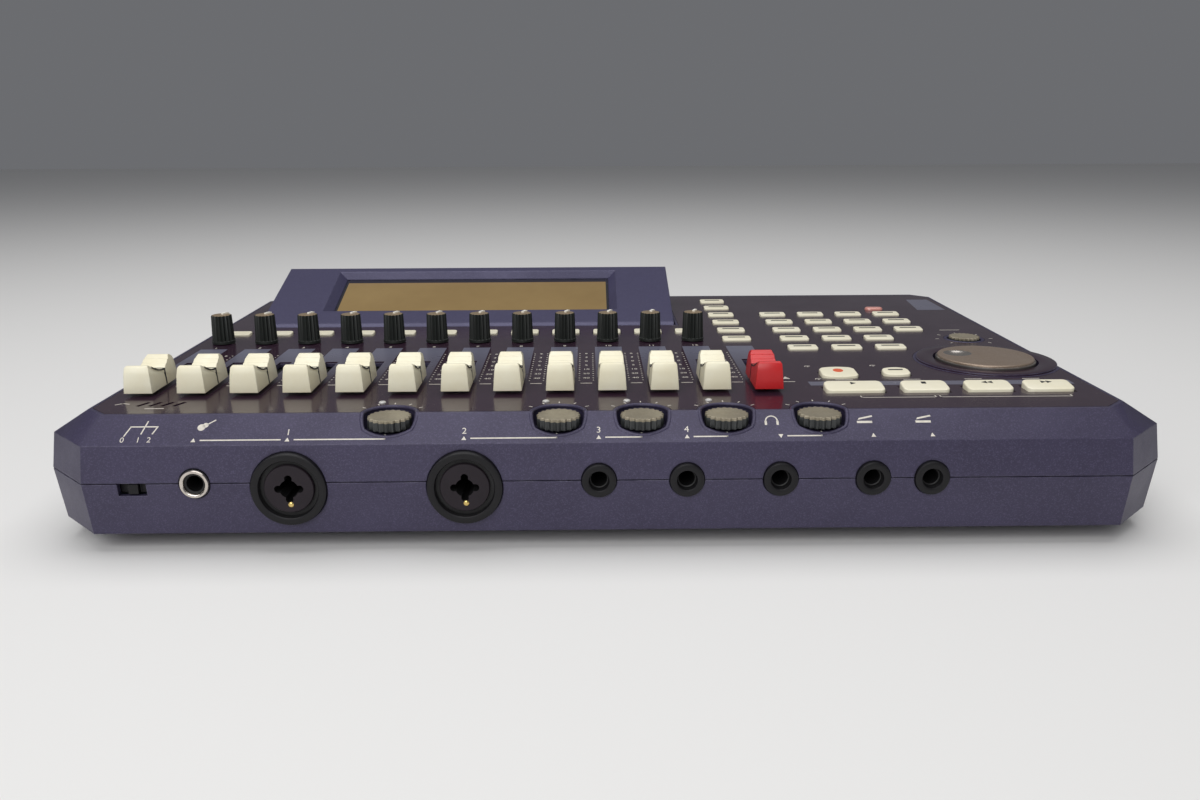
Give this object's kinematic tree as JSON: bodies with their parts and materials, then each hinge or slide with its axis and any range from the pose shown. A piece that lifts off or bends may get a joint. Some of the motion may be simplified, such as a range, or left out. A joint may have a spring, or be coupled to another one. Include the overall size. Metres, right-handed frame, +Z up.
{
  "type": "digital multitrack recorder",
  "caption": "Desktop digital recorder with sliding faders, pan knobs, keys, a jog dial, trim knobs sunk in the shoulder, front jacks and a tilting display.",
  "frame": {"origin": "on the table, under the middle of the case", "axes": "+X to the user's right along the fader bank, +Y away from the user, +Z up"},
  "size_m": [0.452, 0.2936, 0.076],
  "materials": {
    "case_violet": "fine-textured metallic moulding",
    "deck_gloss": "glossy printed film",
    "foot_rubber": "matte",
    "steel": "plain",
    "board_green": "solder mask",
    "ferrule_nickel": "polished",
    "socket_black": "satin",
    "window_amber": "clear window over a dark display",
    "dial_bronze": "spun",
    "knob_grey": "moulded",
    "knob_black": "moulded",
    "fader_cream": "moulded",
    "fader_red": "moulded",
    "key_cream": "moulded"
  },
  "bodies": {
    "case": {"top_case": "case_violet", "deck_film": "deck_gloss", "bottom_case": "case_violet", "feet": "foot_rubber", "case_screws": "steel", "main_board": "board_green", "control_board": "board_green", "fader_units": "steel", "hard_drive": "steel", "guitar_jack": "ferrule_nickel", "combo_sockets": "socket_black", "phone_jacks": "socket_black", "rear_sockets": "socket_black"},
    "display": {"display_housing": "case_violet", "display_bezel": "case_violet", "display_window": "window_amber", "hinge_pins": "steel"},
    "fader_cap_01": {"fader_cap_01": "fader_cream"},
    "fader_cap_02": {"fader_cap_02": "fader_cream"},
    "fader_cap_03": {"fader_cap_03": "fader_cream"},
    "fader_cap_04": {"fader_cap_04": "fader_cream"},
    "fader_cap_05": {"fader_cap_05": "fader_cream"},
    "fader_cap_06": {"fader_cap_06": "fader_cream"},
    "fader_cap_07": {"fader_cap_07": "fader_cream"},
    "fader_cap_08": {"fader_cap_08": "fader_cream"},
    "fader_cap_09": {"fader_cap_09": "fader_cream"},
    "fader_cap_10": {"fader_cap_10": "fader_cream"},
    "fader_cap_11": {"fader_cap_11": "fader_cream"},
    "fader_cap_12": {"fader_cap_12": "fader_cream"},
    "master_fader_cap": {"master_fader_cap": "fader_red"},
    "pan_knob_01": {"pan_knob_01": "knob_black"},
    "pan_knob_02": {"pan_knob_02": "knob_black"},
    "pan_knob_03": {"pan_knob_03": "knob_black"},
    "pan_knob_04": {"pan_knob_04": "knob_black"},
    "pan_knob_05": {"pan_knob_05": "knob_black"},
    "pan_knob_06": {"pan_knob_06": "knob_black"},
    "pan_knob_07": {"pan_knob_07": "knob_black"},
    "pan_knob_08": {"pan_knob_08": "knob_black"},
    "pan_knob_09": {"pan_knob_09": "knob_black"},
    "pan_knob_10": {"pan_knob_10": "knob_black"},
    "pan_knob_11": {"pan_knob_11": "knob_black"},
    "pan_knob_12": {"pan_knob_12": "knob_black"},
    "trim_knob_1": {"trim_knob_1": "knob_grey"},
    "trim_knob_2": {"trim_knob_2": "knob_grey"},
    "trim_knob_3": {"trim_knob_3": "knob_grey"},
    "trim_knob_4": {"trim_knob_4": "knob_grey"},
    "phones_knob": {"phones_knob": "knob_grey"},
    "contrast_knob": {"contrast_knob": "knob_grey"},
    "jog_dial": {"jog_dial": "dial_bronze"},
    "track_keys": {"track_keys": "key_cream"},
    "mode_keys": {"mode_keys": "key_cream"},
    "function_keys": {"function_keys": "key_cream"},
    "play_button": {"play_button": "key_cream"},
    "stop_button": {"stop_button": "key_cream"},
    "rewind_button": {"rewind_button": "key_cream"},
    "forward_button": {"forward_button": "key_cream"},
    "record_button": {"record_button": "key_cream"},
    "punch_button": {"punch_button": "key_cream"},
    "input_switch": {"input_switch": "socket_black"},
    "power_switch": {"power_switch": "socket_black"}
  },
  "joints": [
    {"name": "display_tilt", "type": "hinge", "parent": "case", "child": "display", "pos_m": [-0.0755, 0.047, 0.0485], "axis": [1, 0, 0], "range_deg": [-17, 43]},
    {"name": "fader_cap_01_slide", "type": "slide", "parent": "case", "child": "fader_cap_01", "axis": [0, 1, 0], "range_m": [0, 0.045]},
    {"name": "fader_cap_02_slide", "type": "slide", "parent": "case", "child": "fader_cap_02", "axis": [0, 1, 0], "range_m": [0, 0.045]},
    {"name": "fader_cap_03_slide", "type": "slide", "parent": "case", "child": "fader_cap_03", "axis": [0, 1, 0], "range_m": [0, 0.045]},
    {"name": "fader_cap_04_slide", "type": "slide", "parent": "case", "child": "fader_cap_04", "axis": [0, 1, 0], "range_m": [0, 0.045]},
    {"name": "fader_cap_05_slide", "type": "slide", "parent": "case", "child": "fader_cap_05", "axis": [0, 1, 0], "range_m": [0, 0.045]},
    {"name": "fader_cap_06_slide", "type": "slide", "parent": "case", "child": "fader_cap_06", "axis": [0, 1, 0], "range_m": [0, 0.045]},
    {"name": "fader_cap_07_slide", "type": "slide", "parent": "case", "child": "fader_cap_07", "axis": [0, 1, 0], "range_m": [0, 0.045]},
    {"name": "fader_cap_08_slide", "type": "slide", "parent": "case", "child": "fader_cap_08", "axis": [0, 1, 0], "range_m": [0, 0.045]},
    {"name": "fader_cap_09_slide", "type": "slide", "parent": "case", "child": "fader_cap_09", "axis": [0, 1, 0], "range_m": [0, 0.045]},
    {"name": "fader_cap_10_slide", "type": "slide", "parent": "case", "child": "fader_cap_10", "axis": [0, 1, 0], "range_m": [0, 0.045]},
    {"name": "fader_cap_11_slide", "type": "slide", "parent": "case", "child": "fader_cap_11", "axis": [0, 1, 0], "range_m": [0, 0.045]},
    {"name": "fader_cap_12_slide", "type": "slide", "parent": "case", "child": "fader_cap_12", "axis": [0, 1, 0], "range_m": [0, 0.045]},
    {"name": "master_fader_cap_slide", "type": "slide", "parent": "case", "child": "master_fader_cap", "axis": [0, 1, 0], "range_m": [0, 0.045]},
    {"name": "pan_knob_01_turn", "type": "hinge", "parent": "case", "child": "pan_knob_01", "pos_m": [-0.196, -0.0014, 0.054], "axis": [0, 0, 1], "range_deg": [-140, 140]},
    {"name": "pan_knob_02_turn", "type": "hinge", "parent": "case", "child": "pan_knob_02", "pos_m": [-0.174, -0.0014, 0.054], "axis": [0, 0, 1], "range_deg": [-140, 140]},
    {"name": "pan_knob_03_turn", "type": "hinge", "parent": "case", "child": "pan_knob_03", "pos_m": [-0.152, -0.0014, 0.054], "axis": [0, 0, 1], "range_deg": [-140, 140]},
    {"name": "pan_knob_04_turn", "type": "hinge", "parent": "case", "child": "pan_knob_04", "pos_m": [-0.13, -0.0014, 0.054], "axis": [0, 0, 1], "range_deg": [-140, 140]},
    {"name": "pan_knob_05_turn", "type": "hinge", "parent": "case", "child": "pan_knob_05", "pos_m": [-0.108, -0.0014, 0.054], "axis": [0, 0, 1], "range_deg": [-140, 140]},
    {"name": "pan_knob_06_turn", "type": "hinge", "parent": "case", "child": "pan_knob_06", "pos_m": [-0.086, -0.0014, 0.054], "axis": [0, 0, 1], "range_deg": [-140, 140]},
    {"name": "pan_knob_07_turn", "type": "hinge", "parent": "case", "child": "pan_knob_07", "pos_m": [-0.064, -0.0014, 0.054], "axis": [0, 0, 1], "range_deg": [-140, 140]},
    {"name": "pan_knob_08_turn", "type": "hinge", "parent": "case", "child": "pan_knob_08", "pos_m": [-0.042, -0.0014, 0.054], "axis": [0, 0, 1], "range_deg": [-140, 140]},
    {"name": "pan_knob_09_turn", "type": "hinge", "parent": "case", "child": "pan_knob_09", "pos_m": [-0.02, -0.0014, 0.054], "axis": [0, 0, 1], "range_deg": [-140, 140]},
    {"name": "pan_knob_10_turn", "type": "hinge", "parent": "case", "child": "pan_knob_10", "pos_m": [0.002, -0.0014, 0.054], "axis": [0, 0, 1], "range_deg": [-140, 140]},
    {"name": "pan_knob_11_turn", "type": "hinge", "parent": "case", "child": "pan_knob_11", "pos_m": [0.024, -0.0014, 0.054], "axis": [0, 0, 1], "range_deg": [-140, 140]},
    {"name": "pan_knob_12_turn", "type": "hinge", "parent": "case", "child": "pan_knob_12", "pos_m": [0.046, -0.0014, 0.054], "axis": [0, 0, 1], "range_deg": [-140, 140]},
    {"name": "trim_knob_1_turn", "type": "hinge", "parent": "case", "child": "trim_knob_1", "pos_m": [-0.0867, -0.1333, 0.054], "axis": [0, 0, 1], "range_deg": [-140, 140]},
    {"name": "trim_knob_2_turn", "type": "hinge", "parent": "case", "child": "trim_knob_2", "pos_m": [-0.02, -0.1333, 0.054], "axis": [0, 0, 1], "range_deg": [-140, 140]},
    {"name": "trim_knob_3_turn", "type": "hinge", "parent": "case", "child": "trim_knob_3", "pos_m": [0.0131, -0.1333, 0.054], "axis": [0, 0, 1], "range_deg": [-140, 140]},
    {"name": "trim_knob_4_turn", "type": "hinge", "parent": "case", "child": "trim_knob_4", "pos_m": [0.0466, -0.1333, 0.054], "axis": [0, 0, 1], "range_deg": [-140, 140]},
    {"name": "phones_knob_turn", "type": "hinge", "parent": "case", "child": "phones_knob", "pos_m": [0.0834, -0.1333, 0.054], "axis": [0, 0, 1], "range_deg": [-140, 140]},
    {"name": "contrast_knob_turn", "type": "hinge", "parent": "case", "child": "contrast_knob", "pos_m": [0.187, -0.0025, 0.054], "axis": [0, 0, 1], "range_deg": [-140, 140]},
    {"name": "jog_dial_turn", "type": "hinge", "parent": "case", "child": "jog_dial", "pos_m": [0.1796, -0.0515, 0.054], "axis": [0, 0, 1], "continuous": true},
    {"name": "track_keys_press", "type": "slide", "parent": "case", "child": "track_keys", "axis": [0, 0, -1], "range_m": [0, 0.001], "stiffness_N_per_m": 900, "springref_m": -0.0008},
    {"name": "mode_keys_press", "type": "slide", "parent": "case", "child": "mode_keys", "axis": [0, 0, -1], "range_m": [0, 0.001], "stiffness_N_per_m": 900, "springref_m": -0.0008},
    {"name": "function_keys_press", "type": "slide", "parent": "case", "child": "function_keys", "axis": [0, 0, -1], "range_m": [0, 0.001], "stiffness_N_per_m": 900, "springref_m": -0.0008},
    {"name": "play_button_press", "type": "slide", "parent": "case", "child": "play_button", "axis": [0, 0, -1], "range_m": [0, 0.001], "stiffness_N_per_m": 400, "springref_m": -0.0008},
    {"name": "stop_button_press", "type": "slide", "parent": "case", "child": "stop_button", "axis": [0, 0, -1], "range_m": [0, 0.001], "stiffness_N_per_m": 400, "springref_m": -0.0008},
    {"name": "rewind_button_press", "type": "slide", "parent": "case", "child": "rewind_button", "axis": [0, 0, -1], "range_m": [0, 0.001], "stiffness_N_per_m": 400, "springref_m": -0.0008},
    {"name": "forward_button_press", "type": "slide", "parent": "case", "child": "forward_button", "axis": [0, 0, -1], "range_m": [0, 0.001], "stiffness_N_per_m": 400, "springref_m": -0.0008},
    {"name": "record_button_press", "type": "slide", "parent": "case", "child": "record_button", "axis": [0, 0, -1], "range_m": [0, 0.001], "stiffness_N_per_m": 400, "springref_m": -0.0008},
    {"name": "punch_button_press", "type": "slide", "parent": "case", "child": "punch_button", "axis": [0, 0, -1], "range_m": [0, 0.001], "stiffness_N_per_m": 400, "springref_m": -0.0008},
    {"name": "input_switch_slide", "type": "slide", "parent": "case", "child": "input_switch", "axis": [1, 0, 0], "range_m": [-0.0032, 0.0032]},
    {"name": "power_switch_press", "type": "slide", "parent": "case", "child": "power_switch", "axis": [0, -1, 0], "range_m": [0, 0.002], "stiffness_N_per_m": 300, "springref_m": -0.0008}
  ]
}
